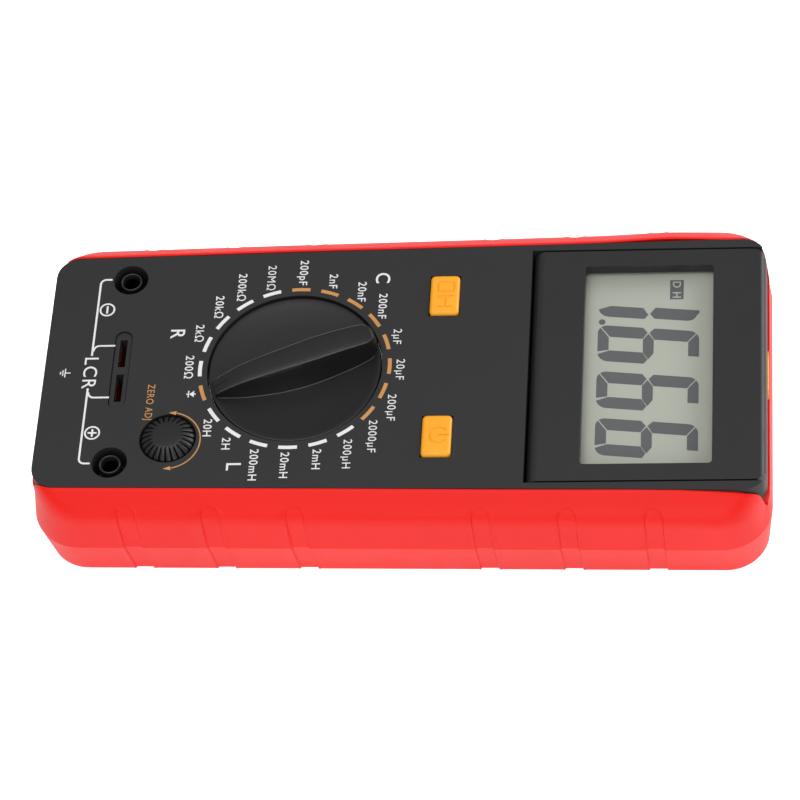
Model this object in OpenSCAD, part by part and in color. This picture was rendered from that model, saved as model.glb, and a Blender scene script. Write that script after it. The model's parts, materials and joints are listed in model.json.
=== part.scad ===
// Handheld LCR meter: rubber boot, two-shell case, range knob, flip-up display head.
// Origin: centre of the back face that rests on the bench.
// +X is right across the panel, +Y points to the display end, +Z comes out of the panel.

/* [Case] */
// Height of the front panel above the bench
panel_z = 35; // [34.5:0.5:36]
// Width of the front panel at the jack end
case_w_low = 71.4; // [70.8:0.2:72]
// Width of the front panel at the display end
case_w_top = 77.2; // [76.8:0.2:77.8]
// End of the front panel beyond the jacks
case_y_low = -92.5; // [-93:0.5:-92]
// End of the front panel beyond the display
case_y_top = 93.6; // [93.2:0.2:93.8]
// Thickness of the front panel
panel_t = 2.5; // [2:0.25:2.5]
// Thickness of the case side walls
wall = 2; // [1.8:0.1:2.2]
// Height of the joint between rear case and front case
split_z = 17; // [16:0.5:18]

/* [Boot] */
// Height of the boot's rim across the jack end
rim_low_z = 30; // [28:0.5:31]
// Height of the boot's rim across the display end
rim_top_z = 24.8; // [24.2:0.2:24.8]
// Height of the boot's widest line
waist_z = 17; // [14:0.5:20]
// Thickness of the boot's back
boot_back_t = 2; // [1.8:0.1:2]
// Depth of the grooves in the boot's sides
groove_depth = 0.6; // [0.3:0.1:1]
// Width of each groove
groove_w = 4.8; // [3:0.2:6]
// Distance between neighbouring grooves
groove_pitch = 21.6; // [16:0.2:22]

/* [Display head] */
// Half of the head's width
head_half_w = 35.4; // [35:0.1:35.5]
// Edge of the head at its hinge
head_y0 = 33.5; // [33.5:0.1:34]
// Radius of the rounded hinge edge
barrel_r = 3.2; // [3:0.1:3.4]
// Window width
window_w = 61; // [56:0.5:61]
// Window height
window_h = 33; // [28:0.5:33]
// Centre of the window along the panel
window_y = 63.5; // [63:0.5:64]
// Radius of the hinge pins
hinge_pin_r = 1.25; // [1:0.05:1.25]

/* [Range selector] */
// Centre of the knob along the panel
dial_y = -27; // [-27.5:0.5:-26.5]
// Radius of the knob's disc
knob_r = 22.4; // [21:0.1:22.4]
// Height of the bar handle above the panel at its high end
handle_h = 6.5; // [5:0.5:8]
// Number of switch positions round the dial
positions = 20; // [12:2:24]
// Radius of the knob's pivot pin
pivot_r = 2.95; // [2.5:0.05:2.95]

/* [Zero adjuster] */
// Centre of the zero knob across the panel
zero_x = 21.4; // [21:0.1:22]
// Centre of the zero knob along the panel
zero_y = -58.1; // [-58.5:0.1:-58]
// Radius of the zero knob
zero_r = 7.05; // [6.5:0.05:7.05]
// Number of flutes round the zero knob
flutes = 24; // [16:2:28]

/* [Buttons] */
// Distance of each button from the centre line
button_x = 21.8; // [21:0.1:22.5]
// Centre of the buttons along the panel
button_y = 10.75; // [10:0.25:11.5]
// Button width
button_w = 12.1; // [11:0.1:12.5]
// Button length along the panel
button_l = 7.5; // [7:0.1:8]
// How far the buttons stand above the panel
button_proud = 0.9; // [0.4:0.1:1.5]

/* [Terminals] */
// Distance between the two jacks
jack_spacing = 57.15; // [57.15:0.05:57.2]
// Line of the jacks along the panel
jack_y = -72.5; // [-73:0.5:-72.5]
// Radius of the round recess around each jack
jack_recess_r = 4.6; // [4.4:0.1:4.7]
// Bore radius of the brass sockets
socket_r = 2; // [2:0.05:2.05]
// Length of the brass socket bores
socket_bore_l = 22; // [18:1:22]
// Length of the slotted component insert
insert_l = 24; // [22:0.5:25]
// Width of the slotted component insert
insert_w = 4.3; // [4:0.1:5]
// Length of each component slot
slot_l = 8.5; // [7:0.1:8.8]
// Distance between the two component slots
slot_pitch = 10.8; // [10.4:0.1:11]
// Width of each component slot
slot_w = 1.9; // [1.6:0.1:2.2]

/* [Battery and stand] */
// Length of the battery block without its studs
battery_l = 46.4; // [45:0.1:46.5]
// Width of the battery block
battery_w = 26.2; // [25:0.1:26.3]
// Depth of the battery block
battery_h = 17.2; // [16:0.1:17.3]
// Centre of the battery along the case
battery_y = -47.6; // [-48:0.1:-47.5]
// Pivot line of the tilt stand along the case
stand_y = 71.5; // [70:0.5:72]
// Free end of the tilt stand
stand_end_y = 9; // [8:0.5:20]

/* [Hidden] */
$fn = 48;

// running clearance between a shaft and its bore
run = 0.05;
// clearance between fixed parts
fit = 0.1;
// overshoot that lets a cut pass clean through a face
cut = 1;

// case
panel_under = panel_z - panel_t;
case_len = case_y_top - case_y_low;
corner_low = 6;
corner_top = 6;
step_low = 2;
step_top = 2.2;
floor_z = 4.1;
back_z = 1;
case_back_z = boot_back_t + fit;

// display head
head_gap = 0.5;
bay_half_w = head_half_w + head_gap;
bay_y0 = head_y0 - head_gap + 0.05;
bay_floor_z = 22.6;
bay_floor_t = 2;
bay_wall_t = 2;
head_back_z = 23;
head_back_t = 2;
shell_z = head_back_z + head_back_t;
hinge_y = head_y0 + barrel_r;
hinge_z = panel_z - barrel_r;
bezel_t = 3.1;
lens_t = 0.9;
lens_z = panel_z - bezel_t - fit - lens_t;
lcd_t = 2.8;
lcd_z = lens_z - fit - lcd_t;
lcd_half_w = 32;
lcd_y0 = 44.6;
lcd_y1 = 82.4;
lcd_board_t = 1;
zebra_t = lcd_z - shell_z - lcd_board_t - 3 * fit;
head_cavity_y0 = 40.1;
head_cavity_y1 = 87.4;
head_screw_x = 30.9;
head_screw_ys = [42.2, 85.1];
latch_half_w = 5.9;
latch_z0 = 26.2;
latch_z1 = 30.8;

// main board
board_top = 24.4;
board_t = 1.6;
board_y0 = -88;
board_y1 = 29.5;
post_x = 30.4;
post_ys = [-45, 21];
boss_low_x = 29.5;
boss_low_y = -84.5;
boss_top_x = 31;
boss_top_y = 83;

// screws
case_screw_r = 1.6;
board_screw_r = 1;
head_screw_r = 0.95;
cover_screw_r = 1.25;
cover_screw_y = battery_y - battery_w / 2 - 4;

// flat cable between the main board and the head
cable_half_w = 8;
cable_z = 26.75;
cable_t = 0.2;

// tilt stand
stand_z = 2.75;
stand_pin_r = 1.2;
stand_half_w = 24.9;

// selector
rotor_r = 23.4;
rotor_z0 = 26.2;
rotor_z1 = 30.3;
ring_r = 26;
ring_wall = 2.2;
ball_r = 1.5;
ball_z = 28.3;

// boot grooves: two groups of three on each side
groove_group_y = 45.05;
groove_mid_y = -1.15;
groove_top_z = panel_z - 2.5;
groove_ys = [for (g = [-1, 1], i = [-1, 0, 1]) groove_mid_y + g * groove_group_y + i * groove_pitch];

// boot levels: height, half widths at the jack and display ends, the two ends, corner radius
boot_levels = [
    [0, 38.3, 40.4, -93.6, 93.4, 12],
    [waist_z, 42.6, 45.3, -94.75, 94.75, 13],
    [panel_z - 4.2, 41.9, 45.2, -93.4, 94.2, 14],
    [panel_z, 36.4, 39.2, -93.2, 94.2, 7]
];

case_black = [0.16, 0.16, 0.17];
knob_black = [0.1, 0.1, 0.1];
boot_red = [0.85, 0.13, 0.11];
button_orange = [1, 0.62, 0.12];
brass = [0.8, 0.62, 0.3];
steel = [0.72, 0.73, 0.75];
board_green = [0.1, 0.36, 0.2];

// ---------- shared shapes ----------

// Points of an arc about (cx, cy) from angle a0 to a1
function arc(cx, cy, r, a0, a1, n = 8) =
    [for (i = [0:n]) let(a = a0 + (a1 - a0) * i / n) [cx + r * cos(a), cy + r * sin(a)]];

// Outline whose half width goes from w0 at y0 to w1 at y1, with rounded corners
function taper_outline(w0, w1, y0, y1, r0, r1) =
    let(
        lean = atan((w1 - w0) / (y1 - y0)),
        slope = (w1 - w0) / (y1 - y0),
        x0 = w0 + slope * r0 - r0 / cos(lean),
        x1 = w1 - slope * r1 - r1 / cos(lean)
    )
    concat(
        arc(x0, y0 + r0, r0, -90, -lean),
        arc(x1, y1 - r1, r1, -lean, 90),
        arc(-x1, y1 - r1, r1, 90, 180 + lean),
        arc(-x0, y0 + r0, r0, 180 + lean, 270)
    );

// Half width of the front panel at y
function case_half(y) =
    (case_w_low + (case_w_top - case_w_low) * (y - case_y_low) / case_len) / 2;

// Slab of the case's plan shape, drawn in by side, low and top
module case_slab(z0, z1, side = 0, low = 0, top = 0) {
    y0 = case_y_low + low;
    y1 = case_y_top - top;
    translate([0, 0, z0])
        linear_extrude(z1 - z0)
            polygon(taper_outline(case_half(y0) - side, case_half(y1) - side, y0, y1,
                                  corner_low - side, corner_top - side));
}

// Box between two opposite corners
module block(a, b) {
    translate(a) cube(b - a);
}

// Copies at plus and minus x
module both_sides(x) {
    for (s = [-1, 1]) translate([s * x, 0, 0]) children();
}

// Upright rod from z0 to z1
module rod(r, z0, z1) {
    translate([0, 0, z0]) cylinder(r = r, h = z1 - z0);
}

// Plate with rounded corners, centred in x, between y0 and y1
module round_plate(half_w, y0, y1, r, z0, z1) {
    translate([0, 0, z0])
        linear_extrude(z1 - z0)
            polygon(taper_outline(half_w, half_w, y0, y1, r, r));
}

// Slot with round ends along x
module stadium(l, w, z0, z1) {
    both_sides((l - w) / 2) rod(w / 2, z0, z1);
    block([-(l - w) / 2, -w / 2, z0], [(l - w) / 2, w / 2, z1]);
}

// Close-wound coil along z: round turns on a thin web
module coil(r, wire, l) {
    turns = floor(l / (2 * wire));
    rotate_extrude() {
        for (i = [0:turns - 1])
            translate([r - wire, wire + i * (l - 2 * wire) / (turns - 1)]) circle(r = wire, $fn = 16);
        translate([r - wire * 1.2, wire]) square([wire * 0.4, l - 2 * wire]);
    }
}

// Everything placed on the dial's centre
module at_dial() {
    translate([0, dial_y, 0]) children();
}

module at_zero() {
    translate([zero_x, zero_y, 0]) children();
}

module at_jacks() {
    translate([0, jack_y, 0]) both_sides(jack_spacing / 2) children();
}

// Screw positions of the main board
module at_posts() {
    for (y = post_ys) translate([0, y, 0]) both_sides(post_x) children();
}

// Screw positions that join the two case shells
module at_bosses_low() {
    translate([0, boss_low_y, 0]) both_sides(boss_low_x) children();
}

module at_bosses_top() {
    translate([0, boss_top_y, 0]) both_sides(boss_top_x) children();
}

module at_bosses() {
    at_bosses_low() children();
    at_bosses_top() children();
}

// Screw positions of the display head
module at_head_screws() {
    for (y = head_screw_ys) translate([0, y, 0]) both_sides(head_screw_x) children();
}

// Bore or rod along x
module bore_x(x0, x1, y, z, r) {
    translate([x0, y, z]) rotate([0, 90, 0]) cylinder(r = r, h = x1 - x0);
}

// ---------- boot ----------

// Half width of one boot level at y
function level_half(level, y) =
    level[1] + (level[2] - level[1]) * (y - level[3]) / (level[4] - level[3]);

// Outside of the boot: back, waist, shoulder and lip
module boot_form() {
    hull() {
        for (level = boot_levels)
            translate([0, 0, min(level[0], panel_z - 0.2)])
                linear_extrude(0.2)
                    polygon(taper_outline(level[1], level[2], level[3], level[4], level[5], level[5]));
    }
}

// Round-topped groove in the side at y, following the boot's profile
module boot_groove(y) {
    profile = [for (level = boot_levels) [level_half(level, y) - groove_depth, level[0] + 0.1]];
    intersection() {
        translate([0, y + groove_w / 2, 0]) rotate([90, 0, 0]) linear_extrude(groove_w)
            polygon(concat([[60, -cut], [profile[0][0], -cut]], profile, [[60, panel_z + 0.1]]));
        union() {
            bore_x(20, 62, y, groove_top_z, groove_w / 2);
            block([20, y - groove_w, -2], [62, y + groove_w, groove_top_z]);
        }
    }
}

// Cut that lowers the rim across an end, seen from the side
module rim_cut(points) {
    translate([-60, 0, 0])
        rotate([90, 0, 90]) linear_extrude(120) polygon(points);
}

module rubber_boot() {
    color(boot_red)
    difference() {
        boot_form();
        for (y = groove_ys) {
            boot_groove(y);
            mirror([1, 0, 0]) boot_groove(y);
        }
        case_slab(boot_back_t, rim_top_z - fit, -fit, step_low - fit, step_top - fit);
        case_slab(rim_top_z - fit, rim_low_z - fit, -fit, step_low - fit, -fit);
        case_slab(rim_low_z - fit, panel_z + cut, -fit, -fit, -fit);
        rim_cut([[-96, rim_low_z], [-92.8, rim_low_z], [-91.6, rim_low_z + 1.5],
                 [-90.2, rim_low_z + 3.6], [-87.5, panel_z + cut], [-96, panel_z + cut]]);
        rim_cut([[96, rim_top_z], [93.2, rim_top_z], [92.4, rim_top_z + 2.4],
                 [91.4, rim_top_z + 6.4], [90, panel_z - 1], [87.5, panel_z + cut],
                 [96, panel_z + cut]]);
        round_plate(30, -68, 78, 6, -cut, boot_back_t + cut);
    }
}

// ---------- case ----------

// Outside of the front case: full size above the boot's rims, stepped in at the ends below them
module front_outer() {
    case_slab(split_z, panel_z, 0, step_low, step_top);
    case_slab(rim_low_z, panel_z);
    intersection() {
        case_slab(rim_top_z + fit, panel_z);
        block([-60, 0, split_z], [60, 120, panel_z]);
    }
}

// Space for the display head, open at the top and across the display end
module head_bay() {
    block([-bay_half_w, bay_y0, bay_floor_z],
          [bay_half_w, case_y_top - step_top - wall, panel_z + cut]);
    block([-bay_half_w, bay_y0 + cut, rim_top_z + fit],
          [bay_half_w, case_y_top + cut, panel_z + cut]);
}

// Floor and front wall of the bay; the floor keeps inside the case's rounded corners
module bay_tray() {
    tray_half = bay_half_w + 0.7;
    inset = 1;
    intersection() {
        block([-tray_half, bay_y0 - bay_wall_t, bay_floor_z - bay_floor_t],
              [tray_half, case_y_top, bay_floor_z]);
        case_slab(split_z, bay_floor_z, inset, step_low + inset, step_top + inset);
    }
    block([-tray_half + 1, bay_y0 - bay_wall_t, bay_floor_z - bay_floor_t],
          [tray_half - 1, bay_y0, panel_under + 0.5]);
}

// Scalloped ring that the detent balls click round in
module detent_ring() {
    difference() {
        rod(ring_r + ring_wall, ball_z - 1.8, panel_under + 0.5);
        rod(ring_r, ball_z - 3, panel_under + cut);
        for (i = [0:positions - 1])
            rotate([0, 0, i * 360 / positions])
                translate([ring_r, 0, 0]) rod(0.9, ball_z - 3, ball_z + 2);
    }
}

// Passage for the flat cable between y0 and y1
module cable_slot(y0, y1) {
    block([-cable_half_w - 0.8, y0, cable_z - 0.45], [cable_half_w + 0.8, y1, cable_z + 0.75]);
}

module front_case() {
    color(case_black)
    difference() {
        union() {
            difference() {
                front_outer();
                case_slab(split_z - cut, panel_under, wall, step_low + wall, step_top + wall);
                head_bay();
            }
            bay_tray();
            at_dial() detent_ring();
            at_jacks() rod(jack_recess_r + 1.2, board_top + fit, panel_under + 0.5);
            at_posts() rod(2.3, board_top + fit, panel_under + 0.5);
            at_bosses_low() rod(3.1, split_z, panel_under + 0.5);
            at_bosses_top() rod(3.1, split_z, bay_floor_z - 1);
        }
        at_dial() rod(knob_r + 0.35, panel_under - cut, panel_z + cut);
        at_zero() rod(zero_r + 0.3, panel_under - cut, panel_z + cut);
        both_sides(button_x)
            block([-button_w / 2 - 0.25, button_y - button_l / 2 - 0.25, panel_under - cut],
                  [button_w / 2 + 0.25, button_y + button_l / 2 + 0.25, panel_z + cut]);
        at_jacks() rod(jack_recess_r, board_top, panel_z + cut);
        translate([0, jack_y, 0])
            stadium(insert_l + 0.3, insert_w + 0.3, panel_under - cut, panel_z + cut);
        at_posts() rod(board_screw_r + run, board_top, board_top + 6);
        at_bosses() rod(case_screw_r + run, split_z - cut, 21);
        bore_x(-40, 40, hinge_y, hinge_z, hinge_pin_r + run);
        cable_slot(bay_y0 - bay_wall_t - cut, bay_y0 + cut);
        block([-4.6, case_y_top - step_top - wall - cut, bay_floor_z], [4.6, case_y_top, rim_top_z + cut]);
    }
}

module rear_case() {
    pocket_half = stand_half_w + 0.3;
    color(case_black)
    difference() {
        union() {
            difference() {
                case_slab(case_back_z, split_z, 0, step_low, step_top);
                case_slab(floor_z, split_z + cut, wall, step_low + wall, step_top + wall);
            }
            round_plate(29.8, -67.8, 77.8, 5.8, back_z, case_back_z + cut);
            // roof of the stand's pocket
            block([-29, stand_end_y - 4, back_z + cut], [29, stand_y + 5, 6.4]);
            // walls of the battery box
            block([-28, battery_y - battery_w / 2 - 1.6, back_z + cut],
                  [28, battery_y + battery_w / 2 + 1.6, 22.2]);
            // boss for the battery cover's screw
            translate([0, cover_screw_y, 0]) rod(2.8, back_z + cut, 11);
            at_bosses() rod(4.1, case_back_z, split_z);
        }
        // stand pocket and its pivot bores
        block([-pocket_half, stand_end_y - 0.6, 0], [pocket_half, stand_y + 2, 4.3]);
        bore_x(-27.2, 27.2, stand_y, stand_z, stand_pin_r + run);
        // finger notch at the stand's free end
        translate([0, stand_end_y - 1, -1]) rod(8, 0, 4.2);
        // battery box and the cover's recess
        block([-26.6, battery_y - battery_w / 2 - 0.3, 0], [26.6, battery_y + battery_w / 2 + 0.3, 23]);
        round_plate(27.8, battery_y - battery_w / 2 - 6.5, battery_y + battery_w / 2 + 2.7, 2, 0, 2.7);
        block([-6.3, battery_y + battery_w / 2 + 2, 1.9], [6.3, battery_y + battery_w / 2 + 4.8, 2.7]);
        translate([0, cover_screw_y, 0]) rod(cover_screw_r + run, 0, 9);
        at_bosses() rod(case_screw_r + run, 0, split_z + cut);
        at_bosses() rod(3, 0, 5.2);
    }
}

// Pan-head screw pointing up
module screw(r, head_r, head_h, l, z) {
    difference() {
        union() {
            rod(head_r, z, z + head_h);
            rod(r, z + head_h - 0.2, z + head_h + l);
        }
        block([-head_r * 0.7, -head_r * 0.13, z - cut], [head_r * 0.7, head_r * 0.13, z + head_h * 0.4]);
        block([-head_r * 0.13, -head_r * 0.7, z - cut], [head_r * 0.13, head_r * 0.7, z + head_h * 0.4]);
    }
}

module case_screws() {
    color(steel) at_bosses() screw(case_screw_r, 2.8, 2, 15, 3.1);
}

// ---------- board and electronics ----------

module main_board() {
    color(board_green)
    difference() {
        block([-33.2, board_y0, board_top - board_t], [33.2, board_y1, board_top]);
        at_bosses_low() rod(4.4, board_top - 3, board_top + cut);
        block([boss_low_x, board_y0 - cut, board_top - 3], [40, boss_low_y + 4.4, board_top + cut]);
        block([-40, board_y0 - cut, board_top - 3], [-boss_low_x, boss_low_y + 4.4, board_top + cut]);
        at_dial() rod(pivot_r + run, board_top - 3, board_top + cut);
        at_jacks() rod(2.4, board_top - 3, board_top + cut);
        at_posts() rod(1.3, board_top - 3, board_top + cut);
    }
}

module board_screws() {
    color(steel) at_posts() screw(board_screw_r, 1.9, 1.3, 6, board_top - board_t - 1.35);
}

module board_parts() {
    under = board_top - board_t - run;
    top = board_top + run;
    // main integrated circuit under the board
    color([0.08, 0.08, 0.08]) block([-7, -22, under - 3.8], [7, 26, under]);
    // electrolytic and film capacitors, trimmers
    color([0.12, 0.18, 0.4]) for (y = [-24, -14]) translate([-22, y, 0]) rod(3.2, under - 9, under);
    color([0.75, 0.2, 0.12]) for (y = [-2, 8]) block([-25, y, under - 7], [-16, y + 4, under]);
    color([0.1, 0.3, 0.7]) for (y = [-26, -17, -8]) block([14, y, under - 5], [20.5, y + 6.5, under]);
    // wound inductor
    color([0.55, 0.32, 0.15]) translate([22, 8, 0]) rod(4, under - 8, under);
    // header of the display's flat cable
    color([0.92, 0.9, 0.84]) block([-10, 21.5, top], [10, 27.4, 27.9]);
}

module push_switches() {
    color([0.15, 0.15, 0.15])
    difference() {
        both_sides(button_x)
            block([-3, button_y - 3, board_top + run], [3, button_y + 3, board_top + 3.5]);
        both_sides(button_x) translate([0, button_y, 0]) rod(1.7 + run, board_top + 0.6, board_top + 4);
    }
}

module plunger(side) {
    color([0.85, 0.85, 0.85])
    translate([side * button_x, button_y, 0]) rod(1.7, board_top + 2.2, board_top + 5);
}

module pot_body() {
    color([0.2, 0.2, 0.22])
    at_zero() difference() {
        rod(6.9, board_top + run, 29);
        rod(3 + run, board_top + 0.8, 30);
    }
}

module pot_shaft() {
    color(steel)
    at_zero() rod(3, board_top + 1, 33.6);
}

module board_cable() {
    color([0.85, 0.86, 0.88])
    block([-cable_half_w, 27.45, cable_z], [cable_half_w, hinge_y - 1.5, cable_z + cable_t]);
}

// ---------- terminals ----------

module jack_sleeves() {
    color(knob_black)
    at_jacks() difference() {
        union() {
            rod(2.8, board_top + run, panel_z - 0.7);
            rod(jack_recess_r - run, board_top + run, board_top + 2.5);
        }
        rod(2.35, board_top - cut, panel_z + cut);
    }
}

module jack_sockets() {
    mouth_z = panel_z - 2;
    color(brass)
    at_jacks() difference() {
        rod(2.32, mouth_z - socket_bore_l - 1, mouth_z);
        rod(socket_r, mouth_z - socket_bore_l, mouth_z + cut);
    }
}

// Places the children at both component slots
module at_slots() {
    translate([0, jack_y, 0]) both_sides(slot_pitch / 2) children();
}

module slot_insert() {
    color(knob_black)
    difference() {
        union() {
            translate([0, jack_y, 0]) stadium(insert_l, insert_w, 26, panel_z - 0.4);
            block([-insert_l / 2 - 1.5, jack_y - 3.6, panel_under - 1.4],
                  [insert_l / 2 + 1.5, jack_y + 3.6, panel_under - fit]);
        }
        at_slots() block([-slot_l / 2, -slot_w / 2, 27], [slot_l / 2, slot_w / 2, panel_z + cut]);
    }
}

module slot_contacts() {
    leaf = 0.22;
    half = slot_w / 2 - run;
    color([0.72, 0.36, 0.2])
    at_slots() {
        block([-slot_l / 2 + 0.6, -half, 27.1], [slot_l / 2 - 0.6, half, 27.4]);
        for (s = [-1, 1])
            translate([0, s * (half - leaf / 2), 0])
                block([-slot_l / 2 + 0.6, -leaf / 2, 27.1], [slot_l / 2 - 0.6, leaf / 2, 33.4]);
    }
}

// ---------- range selector ----------

// Bar handle: a wedge, high and round at the tail, low and narrow at the pointer
module handle() {
    base_z = panel_z - 2;
    hull() {
        translate([0, -16.6, base_z]) cylinder(r = 4.6, h = 0.5, $fn = 32);
        translate([0, -17.2, base_z]) cylinder(r = 3, h = 2 + handle_h, $fn = 32);
        translate([0, 0, base_z]) cylinder(r = 5.3, h = 0.5, $fn = 32);
        translate([0, -4, base_z]) cylinder(r = 3.4, h = 1.5 + handle_h, $fn = 32);
        translate([0, 10, base_z]) cylinder(r = 2.8, h = 6.4, $fn = 32);
        translate([-2, 21, base_z]) cube([4, 0.9, 3]);
    }
}

module selector_knob() {
    rim_z = panel_z - 0.7;
    dish_z = panel_z - 1.5;
    color(knob_black)
    at_dial() rotate([0, 0, -162]) {
        rotate_extrude($fn = 96)
            polygon([
                [0, dish_z], [12, dish_z], [21.6, rim_z - 0.1], [22, rim_z], [knob_r, rim_z - 0.4],
                [knob_r, panel_under - 0.3], [knob_r + 1.8, panel_under - 0.3],
                [knob_r + 1.8, panel_under - 1.8], [5, panel_under - 1.8],
                [5, rotor_z0], [pivot_r, rotor_z0], [pivot_r, board_top - board_t - 0.5],
                [0, board_top - board_t - 0.5]
            ]);
        handle();
    }
}

module contact_rotor() {
    color([0.9, 0.88, 0.8])
    at_dial() difference() {
        rod(rotor_r, rotor_z0, rotor_z1);
        rod(5 + run, rotor_z0 - cut, rotor_z1 + cut);
        for (s = [0, 180])
            rotate([0, 0, s]) translate([15, 0, ball_z])
                rotate([0, 90, 0]) cylinder(r = ball_r + run, h = 10);
    }
}

module detent_balls() {
    color(steel)
    at_dial() for (s = [-1, 1]) translate([s * (ring_r - ball_r - 0.2), 0, ball_z]) sphere(r = ball_r);
}

module detent_springs() {
    color(steel)
    at_dial() for (s = [0, 180])
        rotate([0, 0, s]) translate([15.2, 0, ball_z])
            rotate([0, 90, 0]) coil(1.25, 0.25, 7.4);
}

module contact_wipers() {
    color(brass)
    at_dial() for (i = [0:2]) rotate([0, 0, 45 + i * 120]) {
        block([7, -1.2, rotor_z0 - 0.35], [21, 1.2, rotor_z0 - run]);
        for (x = [11, 15, 19]) translate([x, 0, 0]) rod(0.6, board_top + run, rotor_z0 - 0.3);
    }
}

module rotor_clip() {
    color(steel)
    at_dial() difference() {
        rod(5.6, board_top + 0.7, rotor_z0 - 0.4);
        rod(pivot_r + run, board_top, rotor_z0);
        block([0, -1, board_top], [7, 1, rotor_z0]);
    }
}

// ---------- zero adjuster ----------

module zero_knob() {
    top_z = panel_z + 1.7;
    color(knob_black)
    at_zero() difference() {
        rotate_extrude()
            polygon(concat(
                [[0, top_z]],
                [for (i = [0:6]) [3.4 + (zero_r - 3.4) * sin(i * 15), panel_z - 0.8 + 2.5 * cos(i * 15)]],
                [[zero_r, panel_under - 0.3], [zero_r + 1.2, panel_under - 0.3],
                 [zero_r + 1.2, panel_under - 1.6], [0, panel_under - 1.6]]
            ));
        rod(3 + run, panel_under - 3, panel_z - 1.3);
        for (i = [0:flutes - 1])
            rotate([0, 0, i * 360 / flutes])
                translate([zero_r - 0.1, 0, panel_z - 1.9])
                    rotate([0, -38, 0]) cylinder(r = 0.42, h = 5.4, $fn = 16);
    }
}

// ---------- buttons ----------

module button(side) {
    color(button_orange)
    translate([side * button_x, button_y, 0]) {
        block([-button_w / 2, -button_l / 2, 31], [button_w / 2, button_l / 2, panel_z + button_proud]);
        block([-button_w / 2 - 1, -button_l / 2 - 1, 31], [button_w / 2 + 1, button_l / 2 + 1, 32.3]);
        block([-2, -2, board_top + 5.05], [2, 2, 31.1]);
    }
}

// ---------- display head ----------

module head_shell() {
    color(case_black)
    difference() {
        union() {
            round_plate(head_half_w, hinge_y, case_y_top, 3.6, hinge_z, panel_z);
            block([-head_half_w, hinge_y, shell_z], [head_half_w, case_y_top - 8, panel_z]);
            round_plate(head_half_w, hinge_y + 10, case_y_top, 3.6, shell_z + 0.1, panel_z);
            block([-head_half_w, hinge_y - 0.5, shell_z], [head_half_w, hinge_y + 5, hinge_z]);
            bore_x(-head_half_w, head_half_w, hinge_y, hinge_z, barrel_r);
        }
        difference() {
            block([-33.2, head_cavity_y0, shell_z - cut], [33.2, head_cavity_y1, panel_z - bezel_t]);
            at_head_screws() rod(2.2, shell_z - 2 * cut, panel_z);
        }
        round_plate(window_w / 2, window_y - window_h / 2, window_y + window_h / 2, 1,
                    panel_z - bezel_t - cut, panel_z + cut);
        at_head_screws() rod(head_screw_r + run, shell_z - cut, shell_z + 5.5);
        bore_x(-40, -29.5, hinge_y, hinge_z, hinge_pin_r + run);
        bore_x(29.5, 40, hinge_y, hinge_z, hinge_pin_r + run);
        // latch pocket and the slot for its tongue
        block([-latch_half_w - 0.2, head_cavity_y1 - cut, latch_z0 - 0.2],
              [latch_half_w + 0.2, case_y_top + cut, latch_z1 + 0.2]);
        block([-4.3, head_cavity_y1 - cut, shell_z - cut], [4.3, 90.7, latch_z0]);
        // slot for the flat cable
        cable_slot(hinge_y - cut, head_cavity_y0 + cut);
        // rounded top edge along the display end
        difference() {
            block([-40, case_y_top - 2, panel_z - 2], [40, case_y_top + cut, panel_z + cut]);
            bore_x(-41, 41, case_y_top - 2, panel_z - 2, 2);
        }
    }
}

module head_back() {
    color(case_black)
    difference() {
        union() {
            block([-34.9, hinge_y - 0.6, head_back_z], [34.9, 88.9, shell_z - run]);
            block([-3, lcd_y1 + 0.25, shell_z - 0.5], [3, lcd_y1 + 0.85, 30.4]);
        }
        block([-4.3, 86.2, head_back_z - cut], [4.3, 90, shell_z + cut]);
        at_head_screws() {
            rod(head_screw_r + run, head_back_z - cut, shell_z + cut);
            rod(2, head_back_z - cut, head_back_z + 1.2);
        }
    }
}

module head_screws() {
    color(steel) at_head_screws() screw(head_screw_r, 1.8, 1, 6, head_back_z + 0.15);
}

module window_lens() {
    color([0.85, 0.9, 0.92, 0.35])
    block([-lcd_half_w, lcd_y0, lens_z], [lcd_half_w, lcd_y1, lens_z + lens_t]);
}

module lcd_glass() {
    color([0.66, 0.68, 0.6])
    block([-lcd_half_w, lcd_y0, lcd_z], [lcd_half_w, lcd_y1, lcd_z + lcd_t]);
}

module lcd_board() {
    color(board_green)
    block([-lcd_half_w - 0.8, lcd_y0, shell_z + fit],
          [lcd_half_w + 0.8, lcd_y1, shell_z + fit + lcd_board_t]);
}

module zebra_strips() {
    z = shell_z + lcd_board_t + 2 * fit;
    color([0.85, 0.55, 0.6])
    for (y = [lcd_y0 + 1, lcd_y1 - 3])
        block([-lcd_half_w + 2, y, z], [lcd_half_w - 2, y + 2, z + zebra_t]);
}

module hinge_pins() {
    color(steel) {
        bore_x(30, 37.6, hinge_y, hinge_z, hinge_pin_r);
        bore_x(-37.6, -30, hinge_y, hinge_z, hinge_pin_r);
    }
}

module head_cable() {
    color([0.85, 0.86, 0.88])
    block([-cable_half_w, hinge_y - 0.4, cable_z], [cable_half_w, lcd_y0 + 0.5, cable_z + cable_t]);
}

module latch_button() {
    color(button_orange)
    difference() {
        union() {
            block([-latch_half_w, 86.1, latch_z0], [latch_half_w, case_y_top + 0.4, latch_z1]);
            block([-latch_half_w - 1.4, 86.1, latch_z0], [latch_half_w + 1.4, 87.3, latch_z1]);
            block([-4, 87.6, 23.5], [4, 90.2, latch_z0 + 0.1]);
        }
        translate([0, 86 - cut, 28.5]) rotate([-90, 0, 0]) cylinder(r = 1.75, h = 7);
    }
}

module latch_spring() {
    color(steel)
    translate([0, lcd_y1 + 0.9, 28.5]) rotate([-90, 0, 0]) coil(1.5, 0.25, 7.2);
}

// ---------- battery and stand ----------

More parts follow.
